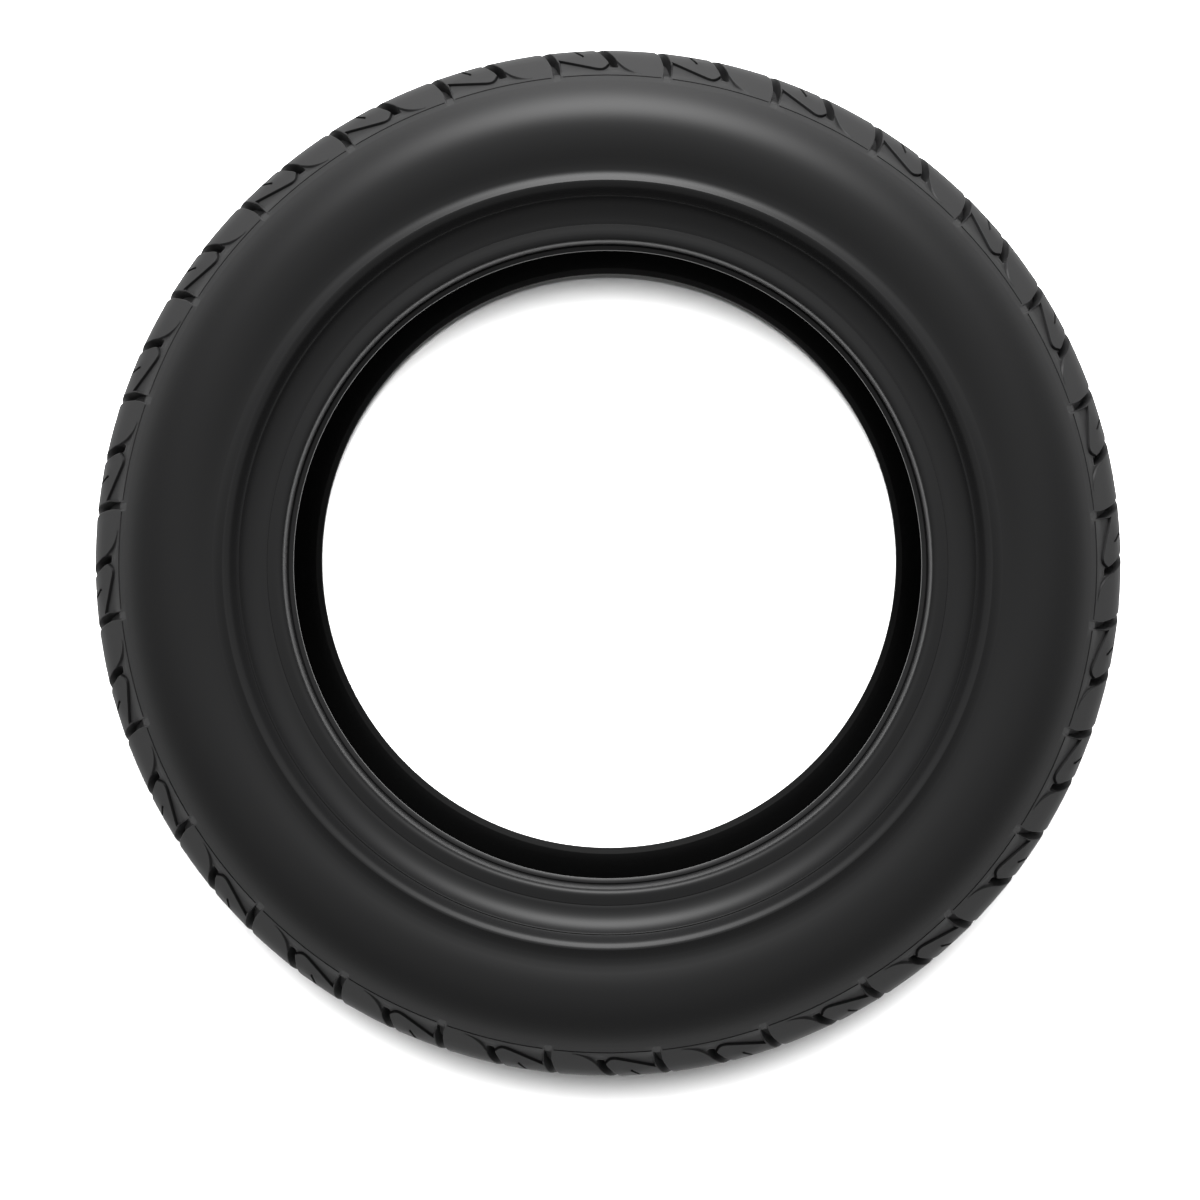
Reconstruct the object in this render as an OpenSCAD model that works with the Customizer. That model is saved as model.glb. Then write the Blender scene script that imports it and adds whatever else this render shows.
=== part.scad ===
// Radial golf cart tyre for a 14 inch wheel, moulded as one piece.
// It lies on one sidewall: Z is the axis it rolls about, and the origin is the centre of the wheel.
// Its section is a list of [radius, height] points, drawn for the upper half and mirrored.

/* [Overall] */
// Diameter over the middle of the tread
outside_d = 571; // [530:1:690]
// Width over both sidewalls, free of the wheel
section_w = 235; // [200:1:285]
// Bore at the bead toes, the narrowest part of the tyre
toe_d = 345; // [285:1:370]
// Free distance between the two bead toes
toe_gap = 164; // [120:1:185]

/* [Bead] */
// Length of the straight land at the toe
toe_land = 2.4; // [1.5:0.1:4]
// Width of the flat lip round the toe
lip_w = 2.4; // [1:0.1:3.5]
// Width and depth of the crease behind the lip
lip_crease = 0.9; // [0.4:0.1:1.5]
// Length of the tapered base that grips the rim seat
base_len = 9; // [5:0.5:16]
// Taper of the base, in degrees
base_taper = 6; // [0:0.5:12]
// Rounding of the heel
heel_round = 4; // [2:0.1:7]
// Width of the heel's face, from the rounding to the flange seat
heel_face = 5; // [2:0.1:9]
// Fall of that face towards the flange seat
heel_fall = 0.5; // [0:0.1:1.5]
// Width of the hollow that the rim flange lies in
seat_w = 14; // [8:0.1:20]
// Rise of that hollow
seat_rise = 7.4; // [4:0.1:12]

/* [Rim protector] */
// Width of the fine centring rib
centring_w = 1.2; // [0.6:0.1:2.5]
// Height of the fine centring rib
centring_h = 0.5; // [0.2:0.1:1.5]
// Width of the steep wall under the protector
wall_w = 3.4; // [1:0.1:6]
// Height of that wall
wall_h = 5.4; // [2:0.1:9]
// Width of the sloping band on the protector
band_w = 3.2; // [1:0.1:6]
// Height of that band
band_h = 2.4; // [0.5:0.1:5]
// Width of the fillet from the protector to the sidewall
flank_w = 6.4; // [3:0.1:12]
// Drop of that fillet
flank_drop = 2.3; // [0.5:0.1:5]

/* [Sidewall] */
// Width of the flat ring at the widest part, which it rests on
rest_w = 6; // [2:0.5:12]
// Place of the widest part between the protector and the shoulder line
widest_share = 0.44; // [0.3:0.01:0.7]
// Height between the crown and the shoulder line
shoulder_drop = 19.5; // [12:0.5:30]
// Width between the two shoulder lines
shoulder_w = 200; // [160:1:240]
// Slope of the sidewall at the shoulder line, in degrees
shoulder_slope = 48; // [35:1:65]
// Length of the straight slope above the shoulder line
buttress_len = 17; // [8:0.5:22]
// Width and depth of the fine shoulder line
line_w = 0.9; // [0.5:0.1:2]

/* [Tread] */
// Width of the running band, between its rounded edges
running_w = 150; // [126:1:170]
// Drop from the crown to the edge of the running band
crown_drop = 2.6; // [1:0.1:6]
// Depth of the grooves that run round the tyre
groove_depth = 7.5; // [4:0.1:10]
// Width of those grooves
groove_w = 8.5; // [4:0.1:12]
// Distance between the two inner grooves
inner_groove_gap = 44; // [30:1:60]
// Distance between the two outer grooves
outer_groove_gap = 112; // [90:1:130]
// Number of pattern pitches round the tyre
pitches = 28; // [16:1:36]
// Width of the cross grooves on the shoulders
cross_w = 4.5; // [2:0.1:7]
// Depth of the cross grooves
cross_depth = 6.6; // [3:0.1:7.4]
// Lean of the straight cross grooves, in degrees
cross_lean = 13; // [0:1:25]
// Depth of the sweeping foot of the curved cross grooves
foot_depth = 1.1; // [0.6:0.1:3]
// Length of that foot round the tyre
foot_len = 15; // [8:0.5:20]
// Width of the fine slits that join the grooves
slit_w = 1; // [0.6:0.1:2]
// Depth of those slits
slit_depth = 2.2; // [1:0.1:4]
// Width of the slots in the ribs beside the middle
slot_w = 3; // [1.5:0.1:5]
// Length of those slots
slot_len = 15; // [6:0.5:20]
// Lean of those slots, in degrees
slot_lean = 28; // [0:1:40]

/* [Wall thickness] */
// Thickness under the middle of the tread
crown_wall = 15.5; // [12:0.5:22]
// Thickness of the sidewall at its widest
side_wall = 7; // [4:0.5:12]
// Thickness of the bead
bead_wall = 17; // [12:0.5:22]

/* [Hidden] */
$fn = 96;

toe_r = toe_d / 2;
toe_z = toe_gap / 2;
crown_r = outside_d / 2;

// Share of the running band that is level, round the middle
level_share = 0.15;

// Angle of the first straight cross groove, and the half pitch to the curved one
first_a = -7.0;
pitch_a = 360 / pitches;

function step(p, dr, dz) = [p[0] + dr, p[1] + dz];
function polar(p, len, slope) = [p[0] + len * cos(slope), p[1] + len * sin(slope)];
function blend(p0, p1, p2, p3, n) =
    [for (i = [0:n]) let (t = i / n, s = 1 - t)
        s * s * s * p0 + 3 * s * s * t * p1 + 3 * s * t * t * p2 + t * t * t * p3];
function curve(p0, slope0, len0, p3, slope3, len3, n) =
    blend(p0, polar(p0, len0, slope0), polar(p3, -len3, slope3), p3, n);
function flip(points) = [for (i = [len(points) - 1:-1:0]) [points[i][0], -points[i][1]]];

// Bead, from the toe up its base to the heel
toe = [toe_r, toe_z];
toe_edge = step(toe, 0, toe_land);
lip_edge = step(toe_edge, lip_w, lip_crease);
crease = step(lip_edge, lip_crease / 2, -lip_crease);
base_start = step(crease, lip_crease / 4, 2 * lip_crease);
base_end = step(base_start, base_len * tan(base_taper), base_len);
heel_top = step(base_end, heel_round, heel_round);
heel_end = step(heel_top, heel_face, -heel_fall);

// Rim flange seat, centring rib and rim protector
seat_end = step(heel_end, seat_w, seat_rise);
rib_top = step(seat_end, centring_w / 2, centring_h + centring_w / 2);
rib_end = step(seat_end, centring_w, centring_w / 2);
wall_end = step(rib_end, wall_w, wall_h);
band_end = step(wall_end, band_w, band_h);
valley = step(band_end, flank_w, -flank_drop);

// Sidewall, shoulder and crown
line = [crown_r - shoulder_drop, shoulder_w / 2];
widest_r = valley[0] + (line[0] - valley[0]) * widest_share;
rest_in = [widest_r - rest_w / 2, section_w / 2];
rest_out = [widest_r + rest_w / 2, section_w / 2];
edge = [crown_r - crown_drop, running_w / 2];
edge_slope = atan(2 * crown_drop / (edge[1] * (1 - level_share)));
side_in = rest_in[0] - valley[0];
side_out = line[0] - rest_out[0];
corner = polar(line, buttress_len, -shoulder_slope);
corner_len = norm(edge - corner);

outer_half = concat(
    [toe, toe_edge, lip_edge, crease, base_start],
    curve(base_end, 90, heel_round * 0.55, heel_top, 0, heel_round * 0.55, 5),
    curve(heel_end, 0, seat_w * 0.45, seat_end, 58, seat_w * 0.35, 7),
    [rib_top, rib_end, wall_end],
    curve(band_end, 30, 0.8, step(band_end, 1.2, -0.2), -42, 0.4, 2),
    curve(step(band_end, 1.3, -0.3), -42, flank_drop * 0.6, valley, 0, flank_w * 0.35, 4),
    curve(step(valley, 0.4, 0), 0, side_in * 0.25, rest_in, 0, side_in * 0.6, 8),
    curve(rest_out, 0, side_out * 0.42, line, -shoulder_slope, side_out * 0.45, 8),
    curve(corner, -shoulder_slope, corner_len * 0.35, edge, edge_slope - 90, corner_len * 0.4, 4),
    [for (f = [0.75, 0.45, level_share])
        [crown_r - crown_drop * pow((f - level_share) / (1 - level_share), 2), edge[1] * f]]);

// Inner surface, from the toe round to the crown
toe_in = step(toe, 1, -0.8);
apex_in = step(valley, 0, -side_wall - 1.5);
wide_in = [widest_r, section_w / 2 - side_wall];
crown_in = [crown_r - crown_wall, running_w * 0.42];
inner_half = concat(
    [toe_in],
    curve(step(heel_top, 0, -bead_wall), 8, 8, apex_in, 26, 16, 7),
    curve(step(apex_in, 1, 0.5), 26, side_in * 0.3, wide_in, 0, side_in * 0.35, 5),
    curve(step(wide_in, 1, 0), 0, side_out * 0.5, crown_in, -89, side_out * 0.75, 9));

module section() {
    difference() {
        polygon(concat(outer_half, flip(outer_half), inner_half_back()));
        for (side = [-1, 1])
            shoulder_line(side);
        for (gap = [inner_groove_gap, outer_groove_gap], side = [-1, 1])
            round_groove(side * gap / 2);
    }
}
function inner_half_back() = concat(
    [for (p = inner_half) [p[0], -p[1]]],
    [for (i = [len(inner_half) - 1:-1:0]) inner_half[i]]);

module round_groove(z) {
    draft = groove_w * 0.12;
    translate([crown_r - groove_depth, z])
        polygon([[0, draft - groove_w / 2], [groove_depth + 4, -groove_w / 2 - draft / 2],
            [groove_depth + 4, groove_w / 2 + draft / 2], [0, groove_w / 2 - draft]]);
}

module shoulder_line(side) {
    scale([1, side])
        translate(line)
            rotate(-shoulder_slope)
                polygon([[-line_w / 2, 1], [0, -line_w * 0.7], [line_w / 2, 1]]);
}

// Turns a shape drawn at angle 0 by a share of the pitches, and leans it about the shoulder line
module at_pitch(i, lean = 0) {
    rotate(first_a - i * pitch_a)
        translate([0, 0, line[1]])
            rotate([lean, 0, 0])
                translate([0, 0, -line[1]])
                    children();
}

// Puts a shape on the straight slope: x runs up the slope from the shoulder line, z out of it.
// The shape's own y = mid lies where the slope's plane touches the tyre.
module on_slope(i, mid = 0) {
    rotate(first_a - i * pitch_a + mid / line[0] * 180 / PI)
        translate([line[0], 0, line[1]])
            rotate([0, shoulder_slope, 0])
                translate([0, -mid, 0])
                    children();
}

// Groove across a shoulder, from the outer round groove down the slope to x above the line.
// Its floor climbs from the groove's depth to end_depth under the slope.
module cross_groove(w, depth, x, end_depth) {
    start = [crown_r - depth, outer_groove_gap / 2 - 1];
    end = polar(polar(line, x, -shoulder_slope), -end_depth, 90 - shoulder_slope);
    run_in = curve(start, 90, running_w * 0.2, end, 170 - shoulder_slope, buttress_len * 0.5, 6);
    rotate([90, 0, 0])
        linear_extrude(height = w, center = true)
            polygon(concat(run_in, [polar(end, 12, 90 - shoulder_slope), [crown_r + 9, start[1]]]));
}

// Sweeping foot of a curved groove, which runs out just above the shoulder line
module groove_foot() {
    half = cross_w / 2;
    top = buttress_len * 0.6;
    translate([0, 0, -foot_depth])
        linear_extrude(height = foot_depth + 5)
            polygon(concat(
                blend([top, -half], [top * 0.6, -half - 1], [2.6, -foot_len * 0.55], [1.3, -foot_len], 5),
                [[1.0, half]],
                blend([3.8, half + 3], [4.6, half + 1], [top * 0.7, half], [top, half], 4)));
}

// Fine slit from the foot of a curved groove up to the next straight one
module slit() {
    run = [[4.6, cross_w / 2 + 1], [5.2, 7], [8, 15.5], [12, 30]];
    translate([0, 0, -slit_depth])
        linear_extrude(height = slit_depth + 5)
            polygon(concat([for (p = run) p + [slit_w / 2, 0]],
                [for (i = [len(run) - 1:-1:0]) run[i] - [slit_w / 2, 0]]));
}

module shoulder_pattern() {
    for (i = [0:pitches - 1]) {
        at_pitch(i, cross_lean)
            cross_groove(cross_w, cross_depth, 0, line_w * 0.7);
        at_pitch(i + 0.5, cross_lean / 2)
            cross_groove(cross_w, cross_depth, buttress_len * 0.45, slit_depth);
        at_pitch(i + 0.24, cross_lean)
            cross_groove(slit_w * 1.3, slit_depth * 1.4, buttress_len * 0.85, slit_depth / 2);
        on_slope(i + 0.5)
            groove_foot();
        on_slope(i + 0.5, 15)
            slit();
        at_pitch(i + 0.75, slot_lean)
            rib_slot();
    }
}

// Slot in the rib beside the middle, open to the outer round groove
module rib_slot() {
    far = outer_groove_gap / 2;
    translate([crown_r - cross_depth, -slot_w / 2, far - groove_w / 2 - slot_len])
        cube([cross_depth + 5, slot_w, slot_len + 2]);
}

module tyre() {
    color([0.16, 0.16, 0.165])
        difference() {
            rotate_extrude()
                section();
            shoulder_pattern();
            rotate([180, 0, 0])
                shoulder_pattern();
        }
}

tyre();
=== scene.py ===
import math

import bmesh
import bpy
import numpy as np
from mathutils import Matrix, Vector
from mathutils.geometry import delaunay_2d_cdt


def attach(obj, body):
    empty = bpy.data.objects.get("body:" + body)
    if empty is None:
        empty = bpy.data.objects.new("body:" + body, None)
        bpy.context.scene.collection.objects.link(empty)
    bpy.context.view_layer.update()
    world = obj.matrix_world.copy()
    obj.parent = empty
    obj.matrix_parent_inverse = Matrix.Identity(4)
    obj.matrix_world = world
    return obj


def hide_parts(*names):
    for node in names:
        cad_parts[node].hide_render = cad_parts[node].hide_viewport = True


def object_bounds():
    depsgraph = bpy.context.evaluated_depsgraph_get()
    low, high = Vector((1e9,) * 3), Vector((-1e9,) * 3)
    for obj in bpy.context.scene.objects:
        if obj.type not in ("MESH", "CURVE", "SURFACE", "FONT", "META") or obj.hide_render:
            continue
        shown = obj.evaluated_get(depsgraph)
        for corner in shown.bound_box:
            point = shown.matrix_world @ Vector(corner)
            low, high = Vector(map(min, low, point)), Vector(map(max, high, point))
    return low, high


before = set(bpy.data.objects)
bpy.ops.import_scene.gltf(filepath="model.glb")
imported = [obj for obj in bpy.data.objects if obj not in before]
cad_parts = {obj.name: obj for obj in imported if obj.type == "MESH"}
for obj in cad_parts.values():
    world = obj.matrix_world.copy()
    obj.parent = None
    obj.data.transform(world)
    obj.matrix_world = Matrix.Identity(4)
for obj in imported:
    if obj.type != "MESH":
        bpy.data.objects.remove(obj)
cad_low, cad_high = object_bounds()

# Outer skin of the moulded rubber, from the valley beside the rim protector over the sidewall and shoulder
# to the middle of the tread. It is the face of the mould, and the tread pattern is pressed into it.
# Its section is worked out in millimetres, as (radius, height above the middle of the tyre).
CROWN_R = cad_high.x * 1000
HALF_WIDTH = cad_high.z * 1000
REST_INSET = 0.6
VALLEY = (213.7, 112.2)
WIDEST = (CROWN_R - 48.8, HALF_WIDTH - REST_INSET)
LINE = (CROWN_R - 19.5, 100.0)
SHOULDER_SLOPE = -48.0
BUTTRESS_LENGTH = 15.0
TREAD_EDGE = (CROWN_R - 2.6, 75.0)
CROWN_DROP = 2.6
EDGE_SLOPE = -85.5
LEVEL_SHARE = 0.15


def heading(slope):
    return np.array((math.cos(math.radians(slope)), math.sin(math.radians(slope))))


def sweep(start, start_slope, start_pull, end, end_slope, end_pull, steps):
    """Points of a smooth curve from start to end, which leaves and arrives at the two slopes, in degrees."""
    a, d = np.array(start, float), np.array(end, float)
    b, c = a + start_pull * heading(start_slope), d - end_pull * heading(end_slope)
    t = np.linspace(0, 1, steps + 1)[:, None]
    return (1 - t) ** 3 * a + 3 * (1 - t) ** 2 * t * b + 3 * (1 - t) * t**2 * c + t**3 * d


def crown_curve(steps):
    height = np.linspace(TREAD_EDGE[1], 0, steps + 1)
    share = np.clip((height / TREAD_EDGE[1] - LEVEL_SHARE) / (1 - LEVEL_SHARE), 0, 1)
    return np.c_[CROWN_R - CROWN_DROP * share**2, height]


corner = np.array(LINE) + BUTTRESS_LENGTH * heading(SHOULDER_SLOPE)
side_part = np.vstack([
    sweep(VALLEY, 4, 5, WIDEST, 0, 13, 120),
    sweep(WIDEST, 0, 11.5, LINE, SHOULDER_SLOPE, 13, 160)[1:],
])
tread_part = np.vstack([
    np.linspace(LINE, corner, 40)[1:],
    sweep(corner, SHOULDER_SLOPE, 5.5, TREAD_EDGE, EDGE_SLOPE, 6.5, 60)[1:],
    crown_curve(160)[1:],
])
skin_points = np.vstack([side_part, tread_part])
skin_run = np.r_[0, np.cumsum(np.linalg.norm(np.diff(skin_points, axis=0), axis=1))]
skin_run -= skin_run[len(side_part) - 1]
skin_out = np.gradient(skin_points, skin_run, axis=0)[:, ::-1] * (-1, 1)


def run_at_height(height):
    """How far along the skin a height of the tread lies, measured from the middle of the tyre."""
    return np.interp(-height, -tread_part[:, 1], skin_run[len(side_part):])


def on_skin(way, run, lift):
    """Points in metres. way is in mm clockwise along the shoulder line, lift in mm out of the skin."""
    radius, height = (np.interp(run, skin_run, skin_points[:, k]) for k in (0, 1))
    out_r, out_z = (np.interp(run, skin_run, skin_out[:, k]) for k in (0, 1))
    length = np.hypot(out_r, out_z)
    radius, height = radius + lift * out_r / length, height + lift * out_z / length
    turn = -np.asarray(way) / LINE[0]
    return np.c_[radius * np.cos(turn), radius * np.sin(turn), height] / 1000


# Marks of the mould. A groove follows a path at an even width, and a patch fills an outline. Each has a lip,
# the small bevel round its edge, and walls that lean a little, so that the tyre comes out of the mould.
BEVEL_SHARE = 0.7


def distance_to(points, path, closed):
    """Distance of each point to a path, and whether it is inside it."""
    start, end = (path, np.roll(path, -1, 0)) if closed else (path[:-1], path[1:])
    leg = end - start
    rel = points[:, None] - start
    t = np.clip((rel * leg).sum(2) / (leg**2).sum(1), 0, 1)
    near = np.linalg.norm(rel - t[..., None] * leg, axis=2).min(1)
    crossing = (start[:, 1] > points[:, None, 1]) != (end[:, 1] > points[:, None, 1])
    with np.errstate(divide="ignore", invalid="ignore"):
        cut = start[:, 0] + (points[:, None, 1] - start[:, 1]) * leg[:, 0] / leg[:, 1]
    return near, (crossing & (points[:, None, 0] < cut)).sum(1) % 2 == 1


def beside(path, distance, closed):
    """The path moved to its left by a distance, with its corners kept."""
    ahead = np.roll(path, -1, 0) - path
    if not closed:
        ahead[-1] = ahead[-2]
    behind = np.roll(ahead, 1, 0)
    if not closed:
        behind[0] = ahead[0]
    ahead, behind = (v / np.linalg.norm(v, axis=1)[:, None] for v in (ahead, behind))
    left = np.c_[-(ahead + behind)[:, 1], (ahead + behind)[:, 0]]
    left /= np.maximum((left**2).sum(1) / 2, 0.5)[:, None]
    return path + distance * left


def around(path, distance):
    """The outline that lies at a distance round an open path, with round ends."""
    def cap(centre, direction):
        first = math.atan2(direction[1], direction[0]) - math.pi / 2
        turns = first + np.radians((45, 90, 135))
        return [centre + distance * np.array((math.cos(a), math.sin(a))) for a in turns]

    return np.vstack([beside(path, -distance, False), cap(path[-1], path[-1] - path[-2]),
                      beside(path, distance, False)[::-1], cap(path[0], path[0] - path[1])])


def groove(path, width, depth, wall=0.5, lip=0.3):
    lift = (lambda points: -depth(points)) if callable(depth) else -depth
    path = np.array(path, float)
    return {"path": path, "closed": False, "half": width / 2, "lift": lift, "lip": lip, "wall": wall}


def patch(outline, lift, wall, lip):
    path = np.array(outline, float)
    return {"path": path, "closed": True, "half": None, "lift": lift, "lip": lip, "wall": wall}


def depth_inside(mark, points):
    near, inside = distance_to(points, mark["path"], mark["closed"])
    if mark["half"] is None:
        return np.where(inside, near, -near)
    return mark["half"] - near


def edges_of(mark):
    """The outlines of a mark's bevel, edge and foot."""
    for inward in (-mark["lip"], 0, mark["wall"]):
        if mark["half"] is None:
            turn = np.sign(np.cross(mark["path"], np.roll(mark["path"], -1, 0)).sum())
            yield beside(mark["path"], inward * turn, True)
        else:
            yield around(mark["path"], mark["half"] - inward)


def lift_by(mark, points):
    """How far a mark lifts the skin at each point. Grooves lift it by less than zero."""
    inside = depth_inside(mark, points)
    full = mark["lift"](points) if callable(mark["lift"]) else mark["lift"]
    bevel = np.minimum(mark["lip"] * BEVEL_SHARE, np.abs(full)) * np.sign(full)
    on_bevel = np.clip(inside / mark["lip"] + 1, 0, 1) * bevel
    return on_bevel + (full - bevel) * np.clip(inside / mark["wall"], 0, 1)


def near_box(mark, points, margin):
    low = mark["path"].min(0) - margin
    high = mark["path"].max(0) + margin
    return ((points > low) & (points < high)).all(1)


def moulded(ways, runs, marks, clear=0.7):
    """A sheet of the skin between the first and last of ways and runs: points, lifts and triangles."""
    way, run = (v.ravel() for v in np.meshgrid(ways, runs, indexing="ij"))
    points = np.c_[way, run]
    on_edge = np.isin(way, (ways[0], ways[-1])) | np.isin(run, (runs[0], runs[-1]))
    keep = np.ones(len(points), bool)
    for mark in marks:
        margin = (mark["half"] or 0) + clear + mark["lip"]
        close = np.flatnonzero(near_box(mark, points, margin) & ~on_edge)
        if len(close):
            inside = depth_inside(mark, points[close])
            keep[close[(inside > -mark["lip"] - clear) & (inside < mark["wall"] + clear)]] = False
    points = points[keep]
    size = (ways[-1] - ways[0], runs[-1] - runs[0])
    box = np.array([(ways[0], runs[0]), (ways[-1], runs[0]), (ways[-1], runs[-1]), (ways[0], runs[-1])])
    lines, edges, start = [points, box], [], len(points)
    edges += [(start + k, start + (k + 1) % 4) for k in range(4)]
    start += 4
    for mark in marks:
        for line in edges_of(mark):
            lines.append(line)
            edges += [(start + k, start + (k + 1) % len(line)) for k in range(len(line))]
            start += len(line)
    made = delaunay_2d_cdt([Vector(p) for p in np.vstack(lines)], edges, [], 0, 1e-4)
    flat = np.array([tuple(v) for v in made[0]])
    faces = np.array([f for f in made[2] if len(f) == 3])
    middle = flat[faces].mean(1)
    inside = (middle > box[0]).all(1) & (middle < box[2]).all(1)
    faces = faces[inside]
    used, faces = np.unique(faces, return_inverse=True)
    flat, faces = flat[used], faces.reshape(-1, 3)
    lift = np.zeros(len(flat))
    for mark in marks:
        close = np.flatnonzero(near_box(mark, flat, (mark["half"] or 0) + 1))
        if len(close):
            lift[close] = np.minimum(lift[close], lift_by(mark, flat[close]))
    return flat, lift, faces


# Tread band of hard rubber. Each of its 28 pitches has a straight cross groove, a curved one with a sweeping
# foot, a slit that joins the two along a bevelled wedge, and a short notch. Four grooves run round it, and
# slots open the ribs. One pitch of one half is made from its outlines, and is turned round the axle.
PITCHES = 28
COLUMNS = 9
PITCH = 2 * math.pi * LINE[0] / PITCHES
COLUMN = PITCH / COLUMNS
FIRST_GROOVE = math.radians(7.0) * LINE[0]
FIRST_COLUMN = 4
BAND_START = -5.0
OUTER_GROOVE = 56
INNER_GROOVE = 22
GROOVE_WIDTH = 8.5
GROOVE_DEPTH = 7.5
CROSS_WIDTH = 4.5
CROSS_DEPTH = 6.6
LINE_DEPTH = 0.7
HALF_PITCH = PITCH / 2


def curve_through(points, steps):
    """A smooth path through given points."""
    p = np.array(points, float)
    p = np.vstack([2 * p[0] - p[1], p, 2 * p[-1] - p[-2]])
    out = []
    for a, b, c, d in zip(p, p[1:], p[2:], p[3:]):
        for t in np.arange(steps) / steps:
            bend, twist = 2 * a - 5 * b + 4 * c - d, 3 * b - a - 3 * c + d
            out.append(0.5 * (2 * b + (c - a) * t + bend * t**2 + twist * t**3))
    return np.array(out + [p[-2]])


def climbing(runs, depths):
    return lambda points: np.interp(points[:, 1], runs, depths)


def pitch_marks(at):
    """The marks of one pitch of a shoulder, from the straight groove at a place along the shoulder line."""
    outer_groove = run_at_height(OUTER_GROOVE)
    straight = curve_through([(0, -2), (0, 1), (0, 7), (-0.8, 13), (-3.4, 22), (-7.5, 33),
                              (-11.5, outer_groove)], 4)
    line_ways = np.r_[3.4, COLUMN * np.arange(1, COLUMNS), PITCH - 3.4]
    curved = curve_through([(1.2, 8.8), (0.6, 11), (-0.6, 15), (-4.2, 22), (-9, 33), (-14, outer_groove)], 4)
    slit_line = curve_through([(1.8, 15.8), (10.3, 11.6), (18, 8.2), (23.4, 6.4), (26.2, 7.6),
                               (27.9, 10.6)], 4)
    foot_line = curve_through([(2.6, 13.6), (6.1, 8.4), (10.6, 4.5), (15.4, 2.4)], 4) + (HALF_PITCH, 0)
    wedge = np.vstack([slit_line, foot_line, [(HALF_PITCH + 16.4, 1.0), (2.2, 1.0)]])
    notch = curve_through([(10.4, 25), (12.3, 21.5), (13.8, 19.6), (14.4, 18.4)], 3)
    rib_slot = [(HALF_PITCH * 1.5 - 9, run_at_height(38)), (HALF_PITCH * 1.5, outer_groove)]
    inner_slot = [(HALF_PITCH / 2 + 1, run_at_height(20)), (HALF_PITCH / 2 + 5, run_at_height(33))]
    here = [
        groove(straight, CROSS_WIDTH,
               climbing((-4, 0, 2, 6, 10, 14), (0.0, 0.6, 0.8, 2.4, 5.4, CROSS_DEPTH))),
        groove(np.c_[line_ways, np.zeros(len(line_ways))], 0.9, LINE_DEPTH, wall=0.3, lip=0.1),
        groove(curved + (HALF_PITCH, 0), 4.7, climbing((8, 10, 12.5, 16), (1.0, 1.8, 4.2, CROSS_DEPTH))),
        groove(slit_line, 0.9, climbing((6, 12), (1.6, 2.4)), wall=0.25, lip=0.15),
        patch(wedge, lambda points: -np.clip(points[:, 1] * 0.2 - 0.2, 0.04, 1.1), wall=0.5, lip=0.15),
        groove(notch, 1.3, 2.4, wall=0.3, lip=0.2),
        groove(rib_slot, 3.0, 6.0),
        groove(inner_slot, 1.6, 4.0, wall=0.3, lip=0.2),
    ]
    for mark in here:
        mark["path"] = mark["path"] + (at, 0)
    return here


def round_groove(first, last, run):
    """A groove that runs round the tyre, with a point at each column, so that it follows the tyre's curve."""
    ways = np.arange(first - 2 * COLUMN, last + 3 * COLUMN, COLUMN)
    return groove(np.c_[ways, np.full(len(ways), run)], GROOVE_WIDTH, GROOVE_DEPTH, wall=1.0, lip=0.4)


def mesh_object(name, points, faces, finish):
    mesh = bpy.data.meshes.new(name)
    mesh.materials.append(finish)
    mesh.from_pydata([tuple(p) for p in points], [], [tuple(int(k) for k in face) for face in faces])
    made = bpy.data.objects.new(name, mesh)
    bpy.context.scene.collection.objects.link(made)
    return made


def pitch_of_tread():
    ways = COLUMN * (FIRST_COLUMN + np.arange(COLUMNS + 1))
    runs = np.r_[np.arange(BAND_START, 30, 4.4), np.linspace(31, skin_run[-1], 11)]
    marks = [m for k in (-1, 0, 1) for m in pitch_marks(FIRST_GROOVE + k * PITCH)]
    marks += [round_groove(ways[0], ways[-1], run_at_height(z)) for z in (OUTER_GROOVE, INNER_GROOVE)]
    flat, lift, faces = moulded(ways, runs, marks)
    return mesh_object("tread_pitch", on_skin(flat[:, 0], flat[:, 1], lift), faces, tread_rubber)


def new_tree(name, inputs):
    """A geometry node tree with these named inputs, and the identifier of each."""
    tree = bpy.data.node_groups.new(name, "GeometryNodeTree")
    tree.interface.new_socket("Geometry", in_out="INPUT", socket_type="NodeSocketGeometry")
    tree.interface.new_socket("Geometry", in_out="OUTPUT", socket_type="NodeSocketGeometry")
    ids = {}
    for socket, kind in inputs.items():
        ids[socket] = tree.interface.new_socket(socket, in_out="INPUT", socket_type=kind).identifier
    return tree, ids


def add_node(tree, kind, values=(), **links):
    """Adds a node to a tree, sets its plain fields and links its inputs, each named with _ for a space."""
    node = tree.nodes.new(kind)
    for field, value in dict(values).items():
        setattr(node, field, value)
    for name, source in links.items():
        socket = node.inputs[name.replace("_", " ")]
        if isinstance(source, bpy.types.NodeSocket):
            tree.links.new(source, socket)
        else:
            socket.default_value = source
    return node


def grown(obj, tree, values):
    """Runs a tree on an object and keeps the result as its plain mesh."""
    modifier = obj.modifiers.new(tree.name, "NODES")
    modifier.node_group = tree
    for identifier, value in values.items():
        modifier[identifier] = value
    bpy.context.view_layer.update()
    shown = obj.evaluated_get(bpy.context.evaluated_depsgraph_get())
    made = bpy.data.meshes.new_from_object(shown)
    obj.modifiers.clear()
    obj.data = made
    return obj


SEAM = 0.00002


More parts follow.
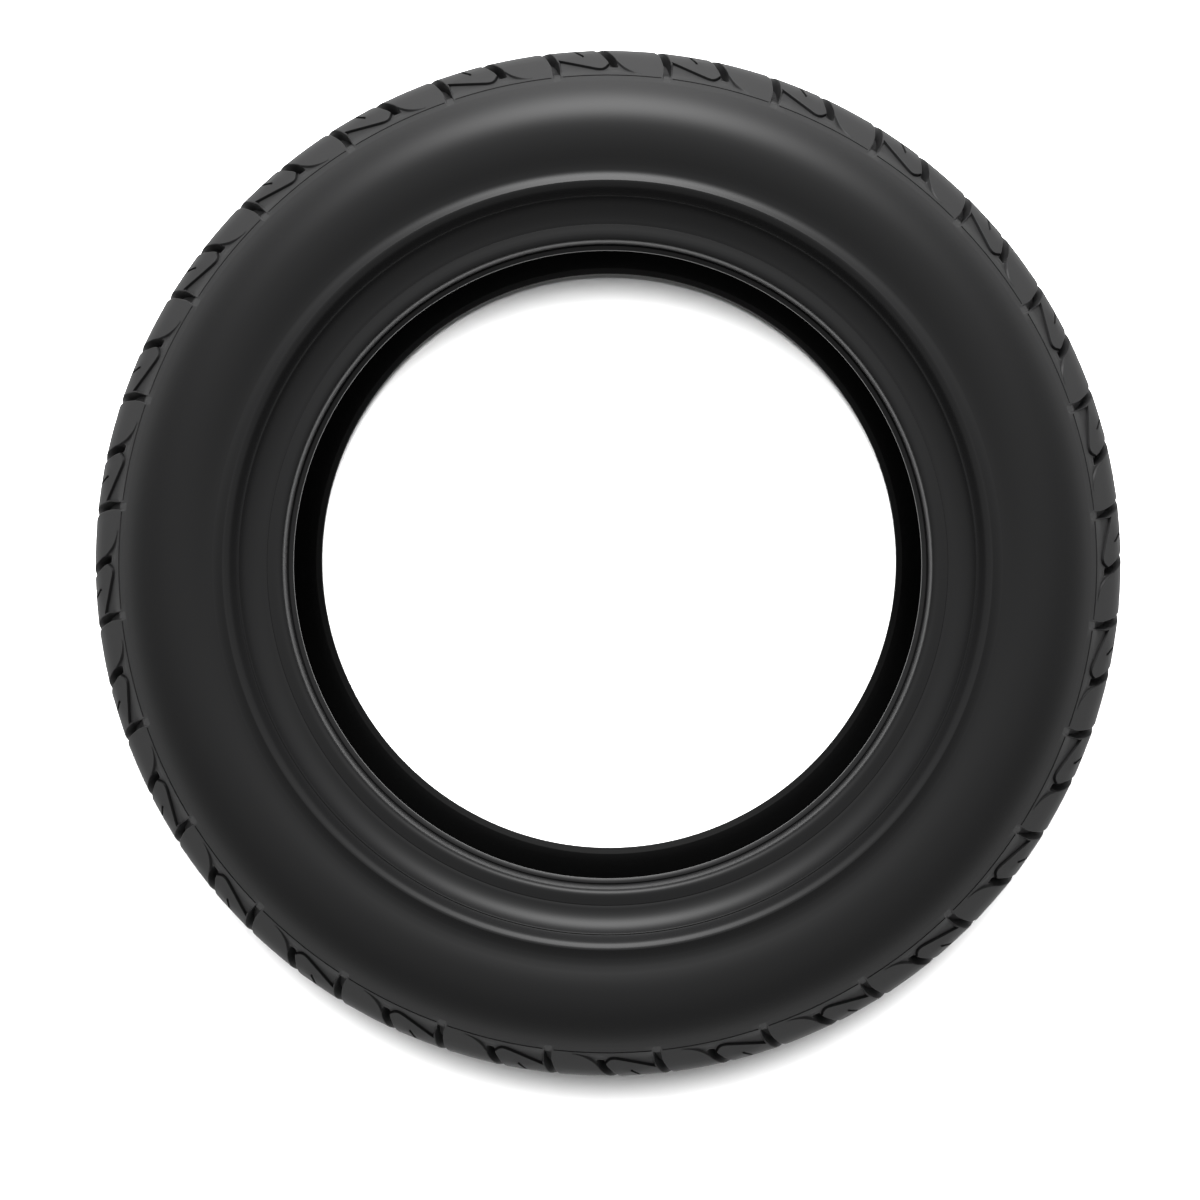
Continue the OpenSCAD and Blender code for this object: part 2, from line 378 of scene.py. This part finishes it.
def turned_copies():
    """Node tree that turns copies of a mesh round the axle, one to each pitch, and welds their seams."""
    tree, ids = new_tree("turned_copies", {"Count": "NodeSocketInt", "Material": "NodeSocketMaterial"})
    given = tree.nodes.new("NodeGroupInput").outputs
    points = add_node(tree, "GeometryNodePoints", Count=given["Count"])
    index = add_node(tree, "GeometryNodeInputIndex").outputs[0]
    step = add_node(tree, "ShaderNodeMath", {"operation": "DIVIDE"})
    step.inputs[0].default_value = 2 * math.pi
    tree.links.new(given["Count"], step.inputs[1])
    angle = add_node(tree, "ShaderNodeMath", {"operation": "MULTIPLY"})
    tree.links.new(index, angle.inputs[0])
    tree.links.new(step.outputs[0], angle.inputs[1])
    turn = add_node(tree, "ShaderNodeCombineXYZ", Z=angle.outputs[0])
    spread = add_node(tree, "GeometryNodeInstanceOnPoints", Points=points.outputs[0],
                      Instance=given["Geometry"], Rotation=turn.outputs[0])
    real = add_node(tree, "GeometryNodeRealizeInstances", Geometry=spread.outputs[0])
    joined = add_node(tree, "GeometryNodeMergeByDistance", Geometry=real.outputs[0], Distance=SEAM)
    painted = add_node(tree, "GeometryNodeSetMaterial", Geometry=joined.outputs[0],
                       Material=given["Material"])
    out = tree.nodes.new("NodeGroupOutput")
    tree.links.new(painted.outputs[0], out.inputs[0])
    return tree, ids


def rubber(name, colour, roughness):
    finish = bpy.data.materials.new(name)
    finish.use_nodes = True
    shader = finish.node_tree.nodes["Principled BSDF"]
    shader.inputs["Base Color"].default_value = (colour, colour, colour * 1.03, 1)
    shader.inputs["Roughness"].default_value = roughness
    return finish


tread_rubber = rubber("tread_rubber", 0.022, 0.55)
tread = pitch_of_tread()
tree, ids = turned_copies()
grown(tread, tree, {ids["Count"]: PITCHES, ids["Material"]: tread_rubber})


# Sidewall between the rim protector and the shoulder line: a smooth veneer of softer rubber over the cord plies.
# It is left bare, with no mark of the mould on it.
ALL_COLUMNS = PITCHES * COLUMNS
SIDEWALL_RINGS = 16
sidewall_rubber = rubber("sidewall_rubber", 0.018, 0.45)


def sidewall():
    ways = COLUMN * np.arange(ALL_COLUMNS + 1)
    runs = np.linspace(skin_run[0], BAND_START, SIDEWALL_RINGS)
    flat, lift, faces = moulded(ways, runs, [])
    return mesh_object("sidewall", on_skin(flat[:, 0], flat[:, 1], lift), faces, sidewall_rubber)


# Bead, rim flange seat and rim protector, of hard rubber round a hoop of steel wire. The toe and the tapered
# base grip the rim, the hollow lies against the rim's flange, and the thin rib beside it shows whether the tyre
# sits true. They are revolved.
TOE = (172.5, 82.0)
bead_rubber = rubber("bead_rubber", 0.022, 0.42)


def revolved(name, section, finish):
    """A section of (radius, height) points, turned round the axle at the tread's own columns."""
    section = np.array(section, float)
    turn = -np.arange(ALL_COLUMNS) * 2 * math.pi / ALL_COLUMNS
    radius, height = section.T
    points = np.stack([np.outer(np.cos(turn), radius), np.outer(np.sin(turn), radius),
                       np.outer(np.ones(len(turn)), height)], axis=2) / 1000
    n = len(section)
    faces = []
    for i in range(ALL_COLUMNS):
        a, b = i * n, (i + 1) % ALL_COLUMNS * n
        faces += [(a + k, b + k, b + k + 1, a + k + 1) for k in range(n - 1)]
    return mesh_object(name, points.reshape(-1, 3), faces, finish)


def bead_section():
    lip = [TOE, (172.5, 84.0), (172.62, 84.35), (172.9, 84.55), (174.6, 85.15), (174.95, 85.1)]
    base = [(175.1, 84.8), (175.3, 84.55), (175.5, 84.9), (175.65, 86.2), (176.1, 90.7)]
    heel = sweep((176.5, 95.2), 88, 2.4, (180.5, 99.2), 0, 2.2, 7)
    seat = sweep((186.0, 98.75), 2, 6.2, (199.5, 106.1), 58, 4.9, 12)
    rib = [(199.75, 106.65), (200.1, 106.95), (200.5, 106.85), (200.8, 106.75)]
    wall = sweep((201.3, 107.3), 58, 1.5, (204.1, 112.1), 55, 1.2, 3)
    band = sweep((204.9, 112.9), 36, 0.9, (207.2, 114.3), 25, 0.7, 3)
    flank = sweep((207.9, 114.35), -28, 1.2, VALLEY, 4, 2.4, 7)
    heel_face = [(182.6, 99.0), (185.2, 98.8), (185.5, 98.6), (185.7, 98.6)]
    return np.vstack([lip, base, heel, heel_face, seat, rib, wall, band, flank])


# Inner liner, the air-tight skin inside the casing. A rubber bladder presses it while the tyre is in its mould,
# so it is plain and dull.
# Its colour is darker than the other rubbers: partly the liner's own black, partly painted shade for the inside
# of the tyre.
liner_rubber_painted_shade = rubber("liner_rubber_painted_shade", 0.012, 0.7)


def liner_section():
    bead_in = sweep((176.0, 80.0), -4, 5, (214.0, 101.6), 27, 16, 9)
    side_in = sweep((216.0, 102.5), 26, 6, (236.5, 110.0), 0, 7, 6)
    crown_in = sweep((238.5, 110.0), 0, 14, (270.0, 63.0), -89, 21, 10)
    return np.vstack([[TOE, (172.7, 81.5), (173.5, 81.1)], bead_in, side_in, crown_in,
                      [(270.0, 42.0), (270.0, 21.0), (270.0, 0.0)]])


# The moulded tyre, whose rubbers are cured into one. The parts of one half are welded, and the half is turned
# over to make the other: the tread has no direction, so the tyre looks the same either way up.
WELD = 0.00001
SLIVER = 0.000005
SHARP = math.radians(28)


def weld(name, objects):
    """One closed mesh from meshes that meet at their edges."""
    made = bmesh.new()
    finishes = []
    for obj, flip in objects:
        mesh = obj.data.copy()
        if flip:
            mesh.transform(Matrix.Rotation(math.pi, 4, "X"))
        finish = mesh.materials[0]
        if finish not in finishes:
            finishes.append(finish)
        mesh.polygons.foreach_set("material_index", [finishes.index(finish)] * len(mesh.polygons))
        made.from_mesh(mesh)
    bmesh.ops.remove_doubles(made, verts=made.verts, dist=WELD)
    bmesh.ops.dissolve_degenerate(made, edges=made.edges, dist=SLIVER)
    joined = bpy.data.meshes.new(name)
    for finish in finishes:
        joined.materials.append(finish)
    made.to_mesh(joined)
    made.free()
    obj = bpy.data.objects.new(name, joined)
    bpy.context.scene.collection.objects.link(obj)
    return obj


def under_tread():
    """The joint between the tread band and the casing, which lies inside the rubber."""
    start = on_skin([0], [BAND_START], [0])[0] * 1000
    return [(start[0], start[2]), (263.2, 98.0), (266.4, 91.0), (269.0, 85.0), (272.0, 78.0), (274.0, 62.0),
            (274.0, 0.0)]


def both_halves(name, parts):
    made = weld(name, [(obj, flip) for flip in (False, True) for obj in parts])
    for part in parts:
        bpy.data.objects.remove(part)
    with bpy.context.temp_override(object=made, selected_editable_objects=[made]):
        bpy.ops.object.shade_smooth_by_angle(angle=SHARP)
    return made


casing = both_halves("casing", [sidewall(), revolved("bead", bead_section(), bead_rubber),
                                revolved("liner", liner_section()[::-1], liner_rubber_painted_shade),
                                revolved("joint", under_tread(), liner_rubber_painted_shade)])
tread_band = both_halves("tread_band", [tread, revolved("joint", under_tread()[::-1], tread_rubber)])
for piece in (casing, tread_band):
    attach(piece, "root")
    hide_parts("tyre")


# Studio. The tyre lies on a white floor. A wide soft lamp hangs behind it, which is above it in the picture.
# A second lamp lights the floor alone: it keeps the floor white and leaves the tyre's own soft shadow.
FLOOR_Z = cad_low.z
FLOOR_REACH = 4.0


def area_lamp(name, place, aim, size, power):
    lamp = bpy.data.lights.new(name, "AREA")
    lamp.shape = "DISK"
    lamp.size = size
    lamp.energy = power
    obj = bpy.data.objects.new(name, lamp)
    obj.location = place
    obj.rotation_euler = (Vector(aim) - Vector(place)).to_track_quat("-Z", "Y").to_euler()
    bpy.context.scene.collection.objects.link(obj)
    return obj


def white_to_the_eye(tree, seen, unseen):
    """Shader that is one thing to camera and transmission rays, and another to all the rest."""
    path = tree.nodes.new("ShaderNodeLightPath")
    either = tree.nodes.new("ShaderNodeMath")
    either.operation = "MAXIMUM"
    tree.links.new(path.outputs["Is Camera Ray"], either.inputs[0])
    tree.links.new(path.outputs["Is Transmission Ray"], either.inputs[1])
    mix = tree.nodes.new("ShaderNodeMixShader")
    tree.links.new(either.outputs[0], mix.inputs[0])
    tree.links.new(unseen, mix.inputs[1])
    tree.links.new(seen, mix.inputs[2])
    return mix.outputs[0]


def floor_finish():
    finish = bpy.data.materials.new("white_floor")
    finish.use_nodes = True
    tree = finish.node_tree
    tree.nodes.clear()
    seen = add_node(tree, "ShaderNodeBsdfDiffuse", Color=(0.9, 0.9, 0.9, 1))
    unseen = add_node(tree, "ShaderNodeBsdfDiffuse", Color=(0.3, 0.3, 0.3, 1))
    out = tree.nodes.new("ShaderNodeOutputMaterial")
    tree.links.new(white_to_the_eye(tree, seen.outputs[0], unseen.outputs[0]), out.inputs[0])
    return finish


corners = [(x * FLOOR_REACH, y * FLOOR_REACH, FLOOR_Z) for x, y in ((-1, -1), (1, -1), (1, 1), (-1, 1))]
floor = mesh_object("floor", corners, [(0, 1, 2, 3)], floor_finish())

area_lamp("key_lamp", (0.0, 1.5, 1.0), (0, 0, 0), 1.2, 28)
floor_lamp = area_lamp("floor_lamp", (0.0, 0.45, 2.4), (0, 0, FLOOR_Z), 0.7, 260)
lit = bpy.data.collections.new("floor_lamp_lights")
lit.objects.link(floor)
floor_lamp.light_linking.receiver_collection = lit

world = bpy.data.worlds.new("studio")
bpy.context.scene.world = world
world.use_nodes = True
tree = world.node_tree
tree.nodes.clear()
white = add_node(tree, "ShaderNodeBackground", Color=(1, 1, 1, 1), Strength=1.0)
room = add_node(tree, "ShaderNodeBackground", Color=(1, 1, 1, 1), Strength=0.25)
out = tree.nodes.new("ShaderNodeOutputWorld")
tree.links.new(white_to_the_eye(tree, white.outputs[0], room.outputs[0]), out.inputs[0])
bpy.context.scene.view_settings.view_transform = "Standard"

# Camera, placed from the two bead toes in the photograph, which are the same circle at two heights.
lens = bpy.data.cameras.new("camera")
lens.lens = 95.13
lens.sensor_width = 36
camera = bpy.data.objects.new("camera", lens)
camera.location = (0.0095, 0.024, 1.8248)
back = (camera.location - Vector((-0.0047, -0.0211, 0))).normalized()
right = Vector((0, 1, 0)).cross(back).normalized()
camera.rotation_euler = Matrix((right, back.cross(right), back)).transposed().to_euler()
bpy.context.scene.collection.objects.link(camera)
bpy.context.scene.camera = camera
